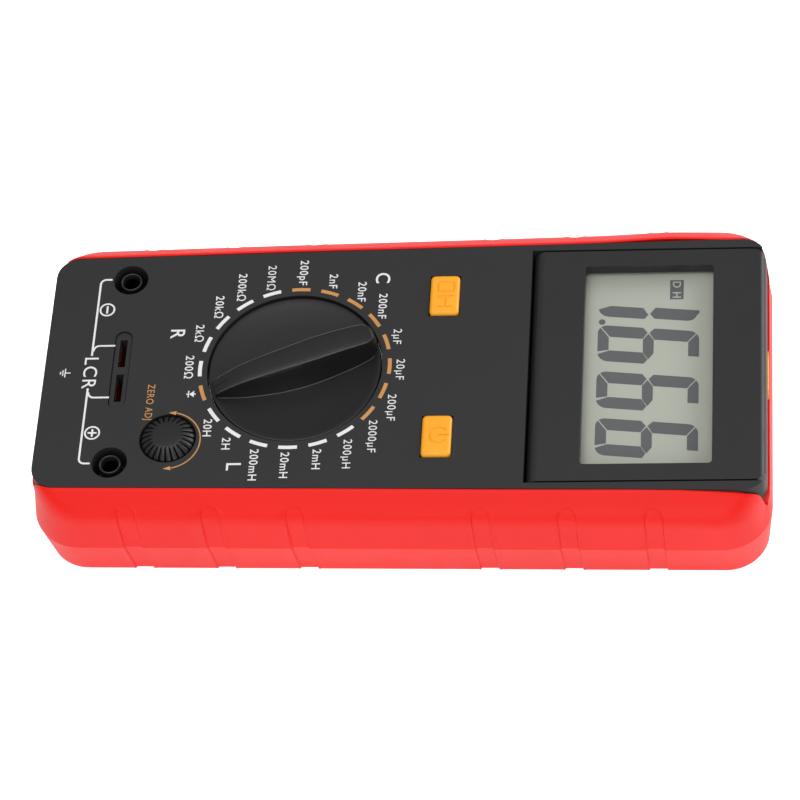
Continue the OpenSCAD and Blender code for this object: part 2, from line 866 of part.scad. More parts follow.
module battery() {
    y0 = battery_y - battery_w / 2;
    color([0.25, 0.27, 0.3]) block([-26, y0, 4.5], [battery_l - 26, y0 + battery_w, 4.5 + battery_h]);
    color(steel) for (s = [-1, 1])
        bore_x(battery_l - 26.5, battery_l - 24, battery_y + s * 6.3, 13, 3.4 + s * 0.6);
}

module battery_snap() {
    color([0.1, 0.1, 0.1])
    block([battery_l - 23.9, battery_y - 12, 6.5], [battery_l - 21.4, battery_y + 12, 19.5]);
}

module battery_leads() {
    z_end = board_top - board_t - run;
    color([0.7, 0.1, 0.1]) translate([battery_l - 22.6, battery_y + 4, 0]) rod(0.7, 19.55, z_end);
    color([0.1, 0.1, 0.1]) translate([battery_l - 22.6, battery_y - 4, 0]) rod(0.7, 19.55, z_end);
}

module battery_cover() {
    y0 = battery_y - battery_w / 2 - 6.3;
    y1 = battery_y + battery_w / 2 + 2.5;
    color(case_black)
    difference() {
        union() {
            round_plate(27.6, y0, y1, 1.8, back_z, 2.6);
            block([-6, y1 - 1, 2.0], [6, y1 + 1.8, 2.6]);
        }
        translate([0, cover_screw_y, 0]) {
            rod(cover_screw_r + run, 0, 3);
            rod(2.3, 0, 1.9);
        }
        for (i = [0:4])
            block([-9, battery_y + 2 + i * 2.4, 0.5], [9, battery_y + 3 + i * 2.4, back_z + 0.4]);
    }
}

module cover_screw() {
    color(steel)
    translate([0, cover_screw_y, 0]) screw(cover_screw_r, 2.1, 0.75, 6.5, 1.1);
}

module tilt_stand() {
    color(case_black) {
        difference() {
            block([-stand_half_w, stand_end_y, 1.5], [stand_half_w, stand_y, 4]);
            block([-17, stand_end_y + 9, 0], [17, stand_y - 8, 5]);
            translate([0, stand_end_y - 3, 0]) rod(8, 0, 5);
        }
        bore_x(-stand_half_w, stand_half_w, stand_y, stand_z, 1.25);
        bore_x(-27, 27, stand_y, stand_z, stand_pin_r);
    }
}

rubber_boot();
front_case();
rear_case();
main_board();
board_parts();
jack_sleeves();
jack_sockets();
slot_insert();
slot_contacts();
case_screws();
board_screws();
push_switches();
pot_body();
battery();
battery_snap();
battery_leads();
battery_cover();
cover_screw();
hinge_pins();
board_cable();
selector_knob();
contact_rotor();
contact_wipers();
detent_balls();
detent_springs();
rotor_clip();
zero_knob();
pot_shaft();
button(-1);  // hold_button
plunger(-1);  // hold_plunger
button(1);  // power_button
plunger(1);  // power_plunger
head_shell();
head_back();
window_lens();
lcd_glass();
lcd_board();
zebra_strips();
head_screws();
latch_spring();
head_cable();
latch_button();
tilt_stand();
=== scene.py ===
import json
import math

import bmesh
import bpy
from mathutils import Matrix, Vector

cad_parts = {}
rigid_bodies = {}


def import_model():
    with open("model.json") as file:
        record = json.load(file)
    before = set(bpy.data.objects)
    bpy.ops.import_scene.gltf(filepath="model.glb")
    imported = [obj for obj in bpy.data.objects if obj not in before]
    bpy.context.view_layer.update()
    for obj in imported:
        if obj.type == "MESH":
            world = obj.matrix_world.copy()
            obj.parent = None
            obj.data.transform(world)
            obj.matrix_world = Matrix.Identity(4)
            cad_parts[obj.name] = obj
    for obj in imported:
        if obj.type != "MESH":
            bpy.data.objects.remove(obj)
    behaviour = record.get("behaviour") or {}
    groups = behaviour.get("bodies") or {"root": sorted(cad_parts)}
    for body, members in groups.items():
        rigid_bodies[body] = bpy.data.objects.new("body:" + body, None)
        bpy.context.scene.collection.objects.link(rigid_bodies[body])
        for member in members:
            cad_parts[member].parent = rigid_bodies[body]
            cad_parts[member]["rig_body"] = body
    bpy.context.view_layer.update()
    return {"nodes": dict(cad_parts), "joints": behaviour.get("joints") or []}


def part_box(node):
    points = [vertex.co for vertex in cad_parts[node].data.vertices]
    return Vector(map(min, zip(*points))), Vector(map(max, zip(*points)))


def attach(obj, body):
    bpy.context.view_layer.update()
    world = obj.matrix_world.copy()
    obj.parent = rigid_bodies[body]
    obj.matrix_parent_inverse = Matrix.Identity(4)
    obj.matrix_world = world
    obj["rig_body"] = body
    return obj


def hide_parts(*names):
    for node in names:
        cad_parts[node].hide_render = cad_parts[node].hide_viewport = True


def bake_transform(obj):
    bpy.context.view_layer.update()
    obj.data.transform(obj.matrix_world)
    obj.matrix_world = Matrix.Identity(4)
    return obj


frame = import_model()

MM = 0.001

# ---------- sizes, in mm, read from the CAD frame ----------


def box_mm(node):
    low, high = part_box(node)
    return low / MM, high / MM


def joint_of(name):
    return next(j for j in frame["joints"] if j["name"] == name)


CASE_LOW, CASE_HIGH = box_mm("front_case")
ZERO_LOW, ZERO_HIGH = box_mm("zero_knob")
LCD_Z = box_mm("lcd_glass")[1].z
PANEL_Z = CASE_HIGH.z
DIAL = Vector(joint_of("dial_turn")["pos_m"]) / MM
ZERO = Vector(joint_of("zero_turn")["pos_m"]) / MM
HINGE = Vector(joint_of("head_hinge")["pos_m"]) / MM
INK = 0.03  # thickness of printed marks

# ---------- shading ----------


def srgb(r, g, b):
    """Linear colour of an 8-bit sRGB one."""
    return tuple((v / 255 / 12.92) if v <= 10 else ((v / 255 + 0.055) / 1.055) ** 2.4
                 for v in (r, g, b)) + (1.0,)


NOISE_SPAN = (0.3, 0.7)  # where a noise texture's values mostly lie


class Shader:
    """Small helper that builds a node material."""

    def __init__(self, name):
        self.material = bpy.data.materials.new(name)
        self.material.use_nodes = True
        self.tree = self.material.node_tree
        self.bsdf = self.tree.nodes["Principled BSDF"]

    def add(self, kind, **inputs):
        node = self.tree.nodes.new(kind)
        for key, value in inputs.items():
            node.inputs[key].default_value = value
        return node

    def link(self, a, out, b, into):
        self.tree.links.new(a.outputs[out], b.inputs[into])

    def noise(self, size_mm, detail):
        """Noise in object space whose features are about size_mm across."""
        place = self.add("ShaderNodeTexCoord")
        node = self.add("ShaderNodeTexNoise", Scale=1 / (size_mm * MM), Detail=detail)
        self.link(place, "Object", node, "Vector")
        return node

    def ramp(self, source, a, b):
        """Colour from a to b over the middle of a noise."""
        node = self.add("ShaderNodeValToRGB")
        for end, place, colour in zip(node.color_ramp.elements, NOISE_SPAN, (a, b)):
            end.position = place
            end.color = colour
        self.link(source, "Fac", node, "Fac")
        return node

    def spread(self, source, low, high):
        node = self.add("ShaderNodeMapRange", **{"To Min": low, "To Max": high})
        node.inputs["From Min"].default_value, node.inputs["From Max"].default_value = NOISE_SPAN
        self.link(source, "Fac", node, "Value")
        return node

    def bump(self, source, depth_mm):
        node = self.add("ShaderNodeBump", Strength=1.0, Distance=depth_mm * MM)
        self.link(source, "Fac", node, "Height")
        self.link(node, "Normal", self.bsdf, "Normal")


def shade(colour, amount):
    return tuple(min(1.0, c * amount) for c in colour[:3]) + (1.0,)


def moulded(name, colour, rough, grain=0.35, depth=0.012, patch=14.0, vary=0.08, specular=0.5):
    """Moulded surface: patchy colour and sheen, fine grain. Sizes are in mm."""
    s = Shader(name)
    patches = s.noise(patch, 4.0)
    tone = s.ramp(patches, shade(colour, 1 - vary), shade(colour, 1 + vary))
    s.link(tone, "Color", s.bsdf, "Base Color")
    sheen = s.spread(s.noise(patch / 6, 5.0), max(0.02, rough - 0.02), rough + 0.02)
    s.link(sheen, "Result", s.bsdf, "Roughness")
    s.bump(s.noise(grain, 2.0), depth)
    s.bsdf.inputs["Specular IOR Level"].default_value = specular
    return s


def rubber_material():
    """Soft red rubber: satin, with a trace of bloom at grazing angles."""
    s = moulded("boot_rubber_look", srgb(240, 22, 12), rough=0.42, grain=0.45, depth=0.01,
                patch=30, vary=0.03, specular=0.28)
    s.bsdf.inputs["Sheen Weight"].default_value = 0.02
    s.bsdf.inputs["Sheen Roughness"].default_value = 0.45
    s.bsdf.inputs["Sheen Tint"].default_value = srgb(255, 170, 165)
    return s.material


def panel_material():
    """Black moulded plastic with a fine spark-eroded grain."""
    return moulded("panel_black", srgb(36, 36, 38), rough=0.6, grain=0.3, depth=0.008, patch=40,
                   vary=0.03, specular=0.4).material


def glass_material():
    """Clear window, almost all see-through."""
    s = moulded("window_clear_look", (0.5, 0.52, 0.5, 1), rough=0.08, grain=9, depth=0.001,
                patch=40, vary=0.01, specular=0.2)
    s.bsdf.inputs["Alpha"].default_value = 0.04
    return s.material


def display_material():
    """Grey-green reflective display with a very fine grain."""
    return moulded("display_grey", srgb(176, 179, 166), rough=0.4, grain=0.25, depth=0.001, patch=45,
                   vary=0.02, specular=0.3).material


def laminate_material():
    """Green solder mask with the weave of the glass cloth under it."""
    return moulded("board_green", srgb(22, 84, 52), rough=0.35, grain=0.9, depth=0.03, patch=8,
                   vary=0.12).material


def brushed_material(name, colour, rough):
    """Metal with fine drawn lines along x."""
    s = Shader(name)
    place = s.add("ShaderNodeTexCoord")
    stretch = s.add("ShaderNodeMapping")
    stretch.inputs["Scale"].default_value = (1, 12, 12)
    s.link(place, "Object", stretch, "Vector")
    lines = s.add("ShaderNodeTexNoise", Scale=1 / (2 * MM), Detail=3.0)
    s.link(stretch, "Vector", lines, "Vector")
    tone = s.ramp(lines, shade(colour, 0.8), shade(colour, 1.15))
    s.link(tone, "Color", s.bsdf, "Base Color")
    s.link(s.spread(lines, rough - 0.08, rough + 0.1), "Result", s.bsdf, "Roughness")
    s.bump(lines, 0.01)
    s.bsdf.inputs["Metallic"].default_value = 1.0
    return s.material


# ---------- mesh helpers ----------


def new_piece(name, points, faces, material, body, sharp=35):
    """Closed mesh from points in mm, with outward normals and smooth shading below the sharp angle."""
    mesh = bpy.data.meshes.new(name)
    mesh.from_pydata([Vector(p) * MM for p in points], [], faces)
    work = bmesh.new()
    work.from_mesh(mesh)
    bmesh.ops.recalc_face_normals(work, faces=work.faces)
    work.to_mesh(mesh)
    work.free()
    mesh.materials.append(material)
    mesh.shade_smooth()
    mesh.set_sharp_from_angle(angle=math.radians(sharp))
    obj = bpy.data.objects.new(name, mesh)
    bpy.context.scene.collection.objects.link(obj)
    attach(obj, body)
    return obj


def loft_faces(rings, count, wrap=False):
    """Quads between rings of count points; the ends are capped, or joined when wrap is set."""
    faces = []
    for i in range(rings if wrap else rings - 1):
        j = (i + 1) % rings
        for k in range(count):
            m = (k + 1) % count
            faces.append((i * count + k, i * count + m, j * count + m, j * count + k))
    if not wrap:
        faces.append(tuple(range(count)))
        faces.append(tuple((rings - 1) * count + k for k in reversed(range(count))))
    return faces


def loft(name, rings, material, body, wrap=False, sharp=35):
    points = [p for ring in rings for p in ring]
    return new_piece(name, points, loft_faces(len(rings), len(rings[0]), wrap), material, body,
                     sharp)


def spans(start, end, steps):
    return [start + (end - start) * i / steps for i in range(steps + 1)]


def smooth(edge0, edge1, x):
    t = min(1.0, max(0.0, (x - edge0) / (edge1 - edge0)))
    return t * t * (3 - 2 * t)


def table_value(table, x):
    """Straight-line reading of a short list of (x, value) pairs."""
    if x <= table[0][0]:
        return table[0][1]
    for (x0, v0), (x1, v1) in zip(table, table[1:]):
        if x <= x1:
            return v0 + (v1 - v0) * (x - x0) / (x1 - x0)
    return table[-1][1]


def bell(x, centre, width):
    return math.exp(-((x - centre) / width) ** 2)


# ---------- rubber boot ----------

# height, half widths at the jack and display ends, the two ends, corner radius
BOOT_LEVELS = [
    (0, 38.5, 41.0, -93.6, 93.6, 11),
    (17, 42.6, 45.29, -94.75, 94.75, 13),
    (30.8, 41.9, 45.2, -93.4, 94.2, 14),
    (35, 36.4, 39.2, -93.2, 94.2, 7),
]
WAIST_Z = 17
SHOULDER_Z = 30.8
GROOVE_YS = (-67.8, -46.2, -24.6, 22.3, 43.9, 65.5)
GROOVE_W = 4.8
GROOVE_TOP = 32.5
GROOVE_DEPTH = 0.4
GROOVE_BEAD = 0.13
# y and height of the lip along the right side, which dips where the case's corner shows
RIM = [(-92.8, 30), (-91.6, 31.5), (-90.2, 33.6), (-87.5, 34.7), (-84, 35), (60, 35), (73, 34.85),
       (78, 34.5), (83, 33.7), (86.5, 32.8), (89, 31.4), (90.3, 29.6), (91.2, 27), (91.9, 24.6),
       (92.5, 22.9), (92.9, 22.4), (93.5, 23.6), (94.1, 24.8)]
RIM_LEFT = RIM[:6] + [(78, 34.8), (85, 34.6), (89, 34.3), (91, 33.6), (92.2, 32), (93.1, 29),
                      (93.7, 26.4), (94.1, 24.8)]
CASE_STEPS = (29.85, 24.65)  # ledge under the case along sides and jack end, and at the display end
CASE_TOP_HALF = CASE_HIGH.x
CASE_LOW_HALF = 35.7
CASE_CORNER = 6
CASE_CLEARANCE = 0.12
SHOULDER_SOFT = 2.4  # how far the shoulder's rounding reaches up and down
BOTTOM_ROUND = 1.1
BACK_OPENING = (30, 30, -68, 78, 6)  # plan shape of the hole in the boot's back
BACK_INSIDE_Z = 2.0
SIDE_END = 76.0  # the sides' rows of points stop here, and the gaps to the corners begin


def level_shape(z):
    for a, b in zip(BOOT_LEVELS, BOOT_LEVELS[1:]):
        if z <= b[0]:
            t = (z - a[0]) / (b[0] - a[0])
            return tuple(p + (q - p) * t for p, q in zip(a[1:], b[1:]))
    return BOOT_LEVELS[-1][1:]


def boot_shape(z):
    """Plan shape at a height; the waist stays crisp and the shoulder is rolled over softly."""
    reach = min(SHOULDER_SOFT, z - WAIST_Z, BOOT_LEVELS[-1][0] - z)
    if reach <= 0:
        return level_shape(z)
    near = [level_shape(z + reach * k) for k in (-1, -0.5, 0, 0.5, 1)]
    return tuple(sum(v) / len(near) for v in zip(*near))


def inset(shape, d):
    hl, ht, y0, y1, r = shape
    return hl - d, ht - d, y0 + d, y1 - d, max(0.5, r - d)


def case_shape(low, top):
    """Plan of the black case with its clearance, stepped in at the ends by low and top."""
    clear = CASE_CLEARANCE
    return (CASE_LOW_HALF + clear, CASE_TOP_HALF + clear, CASE_LOW.y + low - clear,
            CASE_HIGH.y - top + clear, CASE_CORNER + clear)


def side_stations():
    ys = set(spans(-SIDE_END, SIDE_END, 40))
    for c in GROOVE_YS:
        near = [y for y in ys if abs(y - c) < GROOVE_W / 2 + 0.8]
        ys -= set(near)
        edge = GROOVE_W / 2
        offsets = [0, 0.9, 1.5, edge - 0.5, edge - 0.28, edge - 0.12, edge, edge + 0.12, edge + 0.28,
                   edge + 0.6]
        ys |= {c + o for o in offsets} | {c - o for o in offsets}
    return sorted(ys)


def stations():
    """Walk round the plan: sides, the gaps before the corners, corners, ends."""
    side = side_stations()
    gap = (0.25, 0.5, 0.75)
    turn = spans(0, 1, 14)
    across = spans(-1, 1, 12)[1:-1]
    walk = [("side", 1, y) for y in side]
    walk += [("gap", 1, 1, f) for f in gap] + [("arc", 1, 1, f) for f in turn]
    walk += [("end", 1, -f) for f in across]
    walk += [("arc", -1, 1, 1 - f) for f in turn] + [("gap", -1, 1, 1 - f) for f in gap]
    walk += [("side", -1, y) for y in reversed(side)]
    walk += [("gap", -1, -1, f) for f in gap] + [("arc", -1, -1, f) for f in turn]
    walk += [("end", -1, f) for f in across]
    walk += [("arc", 1, -1, 1 - f) for f in turn] + [("gap", 1, -1, 1 - f) for f in gap]
    return walk


def plan_point(shape, station):
    """Where one station lies on a plan outline."""
    hl, ht, y0, y1, r = shape

    def half(y):
        return hl + (ht - hl) * (y - y0) / (y1 - y0)

    kind = station[0]
    if kind == "side":
        # an outline shorter than the stations keeps its own straight part
        y = max(y0 + r, min(y1 - r, station[2]))
        return station[1] * half(y), y
    end = station[2] if kind != "end" else station[1]
    y_turn = y1 - r if end > 0 else y0 + r
    y_stop = min(SIDE_END, y_turn) if end > 0 else max(-SIDE_END, y_turn)
    if kind == "gap":
        y = y_stop + (y_turn - y_stop) * station[3]
        return station[1] * half(y), y
    x_turn = half(y_turn) - r
    if kind == "arc":
        a = station[3] * math.pi / 2
        return station[1] * (x_turn + r * math.cos(a)), y_turn + end * r * math.sin(a)
    return station[2] * x_turn, y_turn + end * r


def rim_height(station):
    x, y = plan_point(boot_shape(SHOULDER_Z), station)
    if station[0] == "end":
        return RIM[-1][1] if station[1] > 0 else RIM[0][1]
    return table_value(RIM if x > 0 else RIM_LEFT, y)


def groove_push(y, z):
    """How far the surface is pushed in at a groove; a fine bead stands up along its edge."""
    top = GROOVE_TOP - GROOVE_W / 2
    d = min(math.hypot(y - c, max(0.0, z - top)) for c in GROOVE_YS)
    push = 1 - smooth(GROOVE_W / 2 - 0.3, GROOVE_W / 2 + 0.04, d)
    return push * GROOVE_DEPTH - GROOVE_BEAD * bell(d, GROOVE_W / 2 + 0.2, 0.2)


def lip_pull(x, y, z):
    """The soft lip stands off the case a little, most of all on the left beside the display."""
    if x > 0:
        return smooth(26, 34, z) * (0.06 + 0.1 * bell(y, 30, 30))
    return smooth(26, 34, z) * (0.06 + 0.75 * bell(y, 68, 11) + 0.15 * bell(y, -30, 30))


def boot_point(station, z, d=0.0, height=None):
    """Point of the outside at profile height z, drawn at another height where the rim is lowered."""
    x, y = plan_point(inset(boot_shape(z), d), station)
    side = math.copysign(1, x)
    if station[0] == "side":
        x -= side * groove_push(y, z)
    if station[0] != "end":
        x += side * lip_pull(x, y, z) * smooth(20, 34, abs(x))
    return x, y, z if height is None else height


# profile heights of the outer rings between the rounded bottom edge and the lip
RING_HEIGHTS = ([2.2, 5, 9, 13, 16.4, 16.8, WAIST_Z, 17.2, 17.6] + spans(19, 28.6, 5)
                + spans(29.2, 33.4, 14) + [34, 34.5, 34.8])


def squeezed(z, rim):
    """Height of a profile ring where the rim is lowered."""
    top = BOOT_LEVELS[-1][0]
    return z if z <= WAIST_Z else WAIST_Z + (z - WAIST_Z) * (rim - WAIST_Z) / (top - WAIST_Z)


def build_boot(material):
    walk = stations()
    rims = [rim_height(s) for s in walk]
    rings = [[(*plan_point(BACK_OPENING, s), 0.0) for s in walk]]
    for a in spans(0, math.pi / 2, 4):
        rings.append([boot_point(s, BOTTOM_ROUND * (1 - math.cos(a)), BOTTOM_ROUND * (1 - math.sin(a)))
                      for s in walk])
    for z in RING_HEIGHTS:
        rings.append([boot_point(s, z, height=squeezed(z, r)) for s, r in zip(walk, rims)])
    upper = case_shape(0, 0)
    lower = case_shape(2, 2.2)

    def inner(shape, s, z):
        x, y = plan_point(shape, s)
        if s[0] != "end":
            x += math.copysign(lip_pull(x, y, z) * smooth(20, 34, abs(x)), x)
        return x, y, z

    def step_z(s):
        toward_display = s[0] != "side" and s[1 if s[0] == "end" else 2] > 0
        return CASE_STEPS[toward_display]

    rings.append([boot_point(s, BOOT_LEVELS[-1][0], 0.12, r) for s, r in zip(walk, rims)])
    rings.append([inner(upper, s, r - 0.02) for s, r in zip(walk, rims)])
    rings.append([inner(upper, s, min(step_z(s), r - 0.1)) for s, r in zip(walk, rims)])
    rings.append([inner(lower, s, min(step_z(s), r - 0.1)) for s, r in zip(walk, rims)])
    rings.append([(*plan_point(lower, s), BACK_INSIDE_Z) for s in walk])
    rings.append([(*plan_point(BACK_OPENING, s), BACK_INSIDE_Z) for s in walk])
    boot = loft("boot_shell", rings, material, "case", wrap=True, sharp=24)
    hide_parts("rubber_boot")


# ---------- selector knob ----------

POINTER = math.radians(162)  # clockwise from the display end
# position along the pointer, top height above the panel, half widths at the top and at the base
HANDLE = [
    (-21.9, 3.2, 0.6, 1.0), (-21.6, 5.2, 1.3, 1.9), (-20.9, 6.0, 2.1, 2.6), (-19.5, 6.22, 2.9, 3.3),
    (-16.6, 6.34, 3.15, 3.9), (-13.7, 6.37, 3.2, 4.3), (-9.6, 6.2, 3.35, 4.8), (-6, 5.95, 3.4, 5.15),
    (-2.5, 5.6, 3.3, 5.4), (0, 5.4, 3.2, 5.45), (4.3, 5.0, 3.05, 5.3), (7, 4.7, 2.95, 5.0),
    (10.9, 4.15, 2.8, 4.5), (14, 3.6, 2.65, 4.0), (17.4, 2.6, 2.35, 3.3), (19.8, 1.7, 2.2, 2.7),
    (21.2, 1.05, 2.1, 2.3), (21.6, 0.6, 1.95, 2.15),
]
# pointer line on the handle's nose: distance from the centre, half width
POINTER_LINE = [(17.2, 0.16), (17.4, 0.25), (18.6, 0.25), (19.8, 0.25), (20.5, 0.25), (21.1, 0.25),
                (21.3, 0.16)]
# radius and height of the dished disc
DISH = [(0, -2.0), (8, -1.9), (15, -1.45), (19, -0.95), (21.5, -0.5), (22.0, -0.48)]


def along_pointer(s, w, z):
    """Point s along the pointer and w to its side, above the panel by z."""
    sx, sy = math.sin(POINTER), math.cos(POINTER)
    return DIAL.x + s * sx + w * sy, DIAL.y + s * sy - w * sx, PANEL_Z + z


def spread_table(rows, steps):
    """More rows between the given ones, on straight lines."""
    out = []
    for a, b in zip(rows, rows[1:]):
        out += [tuple(p + (q - p) * i / steps for p, q in zip(a, b)) for i in range(steps)]
    return out + [rows[-1]]


def handle_ring(row):
    s, top, half_top, half_base = row
    base = -3.2
    bevel = 0.22
    side = []
    for f in (0, 0.2, 0.45, 0.7, 0.88):
        bulge = 0.25 * math.sin(math.pi * f)
        half = half_base + (half_top + bevel - half_base) * f - bulge
        side.append((max(half, half_top * 0.9), base + (top - bevel - base) * f))
    side.append((half_top + bevel * 0.6, top - bevel))
    side.append((half_top, top - bevel * 0.3))
    side.append((half_top - bevel, top))
    crown = [(half_top * f, top + 0.12 * (1 - f * f)) for f in (0.6, 0.2)]
    half = side + crown
    loop = [(w, z) for w, z in half] + [(-w, z) for w, z in reversed(half)]
    return [along_pointer(s, w, z) for w, z in loop]


def build_knob(material, line_material, highlight_material):
    turns = 128
    rings = []
    profile = [(0.6, -1.99)] + [(r, z) for r, z in spread_table(DISH, 3)[1:]]
    profile += [(22.22, -0.56), (22.32, -0.75), (22.32, -2.6), (20, -2.9), (0.6, -2.9)]
    for r, z in profile:
        rings.append([(DIAL.x + r * math.cos(2 * math.pi * k / turns),
                       DIAL.y + r * math.sin(2 * math.pi * k / turns), PANEL_Z + z)
                      for k in range(turns)])
    disc = loft("selector_disc", rings, material, "dial", sharp=30)
    loft("selector_handle", [handle_ring(row) for row in spread_table(HANDLE, 3)], material, "dial",
         sharp=28)
    rings = []
    tops = [(row[0], row[1]) for row in HANDLE]
    for s, w in POINTER_LINE:
        z = table_value(tops, s)
        rings.append([along_pointer(s, w, z + 0.15), along_pointer(s, -w, z + 0.15),
                      along_pointer(s, -w, z - 0.3), along_pointer(s, w, z - 0.3)])
    loft("selector_line", rings, line_material, "dial")
    # the light grey beads along the handle's top edges and base are painted highlights
    for side in (-1, 1):
        foot_highlight_bead(side, highlight_material)
        edge_highlight_bead(side, highlight_material)
    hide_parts("selector_knob")


def bead(name, path, r, material):
    """Thin closed round bead along a path on the knob, drawn out to points at both ends."""
    rings = []
    for i, (s, w, z) in enumerate(path):
        fade = min(1.0, 0.25 + min(i, len(path) - 1 - i) / 5)
        rings.append([along_pointer(s, w + r * fade * math.cos(a), z + r * fade * math.sin(a))
                      for a in (math.pi * k / 4 for k in range(8))])
    loft(name, rings, material, "dial", sharp=60)


def foot_highlight_bead(side, material):
    """Light grey bead where the handle meets the dished disc: a painted highlight along the handle's base.
    """
    path = []
    for s, _, _, half_base in spread_table(HANDLE[2:-1], 4):
        z = table_value(DISH, math.hypot(s, half_base))
        path.append((s, side * (half_base + 0.02), z + 0.01))
    bead("selector_foot_highlight_%d" % (side > 0), path, 0.085, material)


def edge_highlight_bead(side, material):
    """Light grey bead along the handle's top edge: a painted highlight."""
    path = [(s, side * (half_top - 0.02), top - 0.07)
            for s, top, half_top, _ in spread_table(HANDLE[2:-1], 4)]
    bead("selector_edge_highlight_%d" % (side > 0), path, 0.075, material)


# ---------- zero adjuster knob ----------

FLUTES = 24
FLUTE_STEPS = 12


def build_zero_knob(material):
    rings = []
    turns = FLUTES * FLUTE_STEPS
    outer = (ZERO_HIGH.x - ZERO_LOW.x) / 2
    top = ZERO_HIGH.z - PANEL_Z
    low = ZERO_LOW.z - PANEL_Z
    profile = [(0.4, top), (3.4, top), (3.75, top - 0.04), (4.05, top - 0.16), (4.5, top - 0.45),
               (5.1, top - 0.8), (5.8, top - 1.2), (6.4, top - 1.65), (6.8, top - 2.1),
               (7.0, top - 2.7), (outer, top - 3.3), (outer, low), (0.4, low)]
    for i, (r, z) in enumerate(profile):
        fluted = smooth(3.7, 4.8, r) if i < len(profile) - 2 else 0.0
        ring = []
        for k in range(turns):
            a = 2 * math.pi * k / turns
            # each lobe leans, so its slit is deep on one side and fades on the other
            f = (k % FLUTE_STEPS) / FLUTE_STEPS
            slit = max(0.0, 1 - min(f, 1 - f) * 6.5)
            lobe = 0.12 * math.sin(math.pi * f)
            d = fluted * (0.75 * slit - lobe)
            ring.append((ZERO.x + (r - d * 0.7) * math.cos(a), ZERO.y + (r - d * 0.7) * math.sin(a),
                         PANEL_Z + z - (d * 0.9 if i < len(profile) - 1 else 0)))
        rings.append(ring)
    knob = loft("zero_wheel", rings, material, "zero_adjust", sharp=40)
    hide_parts("zero_knob")


# ---------- buttons ----------


def stroke_distance(x, y, stroke):
    """Distance from a point to a line or an arc: ("line", x0, y0, x1, y1) or ("arc", cx, cy, r, a0, a1)."""
    if stroke[0] == "line":
        _, x0, y0, x1, y1 = stroke
        dx, dy = x1 - x0, y1 - y0
        t = max(0.0, min(1.0, ((x - x0) * dx + (y - y0) * dy) / (dx * dx + dy * dy)))
        return math.hypot(x - x0 - t * dx, y - y0 - t * dy)
    _, cx, cy, r, a0, a1 = stroke
    a = math.degrees(math.atan2(y - cy, x - cx)) % 360
    if a0 <= a <= a1 or a0 <= a + 360 <= a1:
        return abs(math.hypot(x - cx, y - cy) - r)
    ends = [(cx + r * math.cos(math.radians(t)), cy + r * math.sin(math.radians(t))) for t in (a0, a1)]
    return min(math.hypot(x - ex, y - ey) for ex, ey in ends)


FLANGE_OUT = 1.0  # hidden flange under the panel that keeps the button in
FLANGE_TOP = 1.3
BUTTON_CORNER = 1.1
BUTTON_EDGE = 0.75  # how far in from the outline the top is rounded over
SYMBOL_DEPTH = 0.3
BUTTON_CELLS = (104, 66)


def button_grid(hx, hy):
    """A square grid pulled into a rounded rectangle, as points round its centre."""
    nx, ny = BUTTON_CELLS
    grid = []
    for x in spans(-hx, hx, nx):
        for y in spans(-hy, hy, ny):
            qx, qy = abs(x) - hx + BUTTON_CORNER, abs(y) - hy + BUTTON_CORNER
            if qx > 0 and qy > 0:
                pull = max(qx, qy) / math.hypot(qx, qy)
                grid.append((math.copysign(hx - BUTTON_CORNER + qx * pull, x),
                             math.copysign(hy - BUTTON_CORNER + qy * pull, y)))
            else:
                grid.append((x, y))
    return grid


def button_fall(x, y, hx, hy, strokes):
    """How far the top lies below the button's highest level: crown, rounded edge and cut symbol."""
    qx, qy = abs(x) - hx + BUTTON_CORNER, abs(y) - hy + BUTTON_CORNER
    outside = math.hypot(max(qx, 0), max(qy, 0)) + min(max(qx, qy), 0) - BUTTON_CORNER
    fall = max(0.0, 1 + outside / BUTTON_EDGE)
    crown = 0.1 * ((x / hx) ** 2 + (y / hy) ** 2)
    away = min(stroke_distance(x, y, s) for s in strokes)
    return crown + 0.42 * fall * fall + SYMBOL_DEPTH * (1 - smooth(0.1, 0.26, away))


def build_button(name, node, body, strokes, material):
    """Button cap with a rounded edge, its symbol cut into the top, and the flange below the panel."""
    low, high = box_mm(node)
    cx, cy = (low.x + high.x) / 2, (low.y + high.y) / 2
    hx, hy = (high.x - low.x) / 2 - FLANGE_OUT, (high.y - low.y) / 2 - FLANGE_OUT
    nx, ny = BUTTON_CELLS
    points = [(cx + x, cy + y, high.z - button_fall(x, y, hx, hy, strokes))
              for x, y in button_grid(hx, hy)]

    def at(i, j):
        return i * (ny + 1) + j

    faces = [(at(i, j), at(i + 1, j), at(i + 1, j + 1), at(i, j + 1))
             for i in range(nx) for j in range(ny)]
    rim = [at(i, 0) for i in range(nx)] + [at(nx, j) for j in range(ny)]
    rim += [at(i, ny) for i in range(nx, 0, -1)] + [at(0, j) for j in range(ny, 0, -1)]
    count = len(rim)
    above = rim
    for out, z in ((0, low.z + FLANGE_TOP), (FLANGE_OUT, low.z + FLANGE_TOP), (FLANGE_OUT, low.z)):
        below = list(range(len(points), len(points) + count))
        for x, y, _ in [points[p] for p in rim]:
            points.append((cx + (x - cx) * (1 + out / hx), cy + (y - cy) * (1 + out / hy), z))
        faces += [(above[k], below[k], below[(k + 1) % count], above[(k + 1) % count])
                  for k in range(count)]
        above = below
    faces.append(tuple(above))
    piece = new_piece(name, points, faces, material, body, sharp=50)
    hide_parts(node)


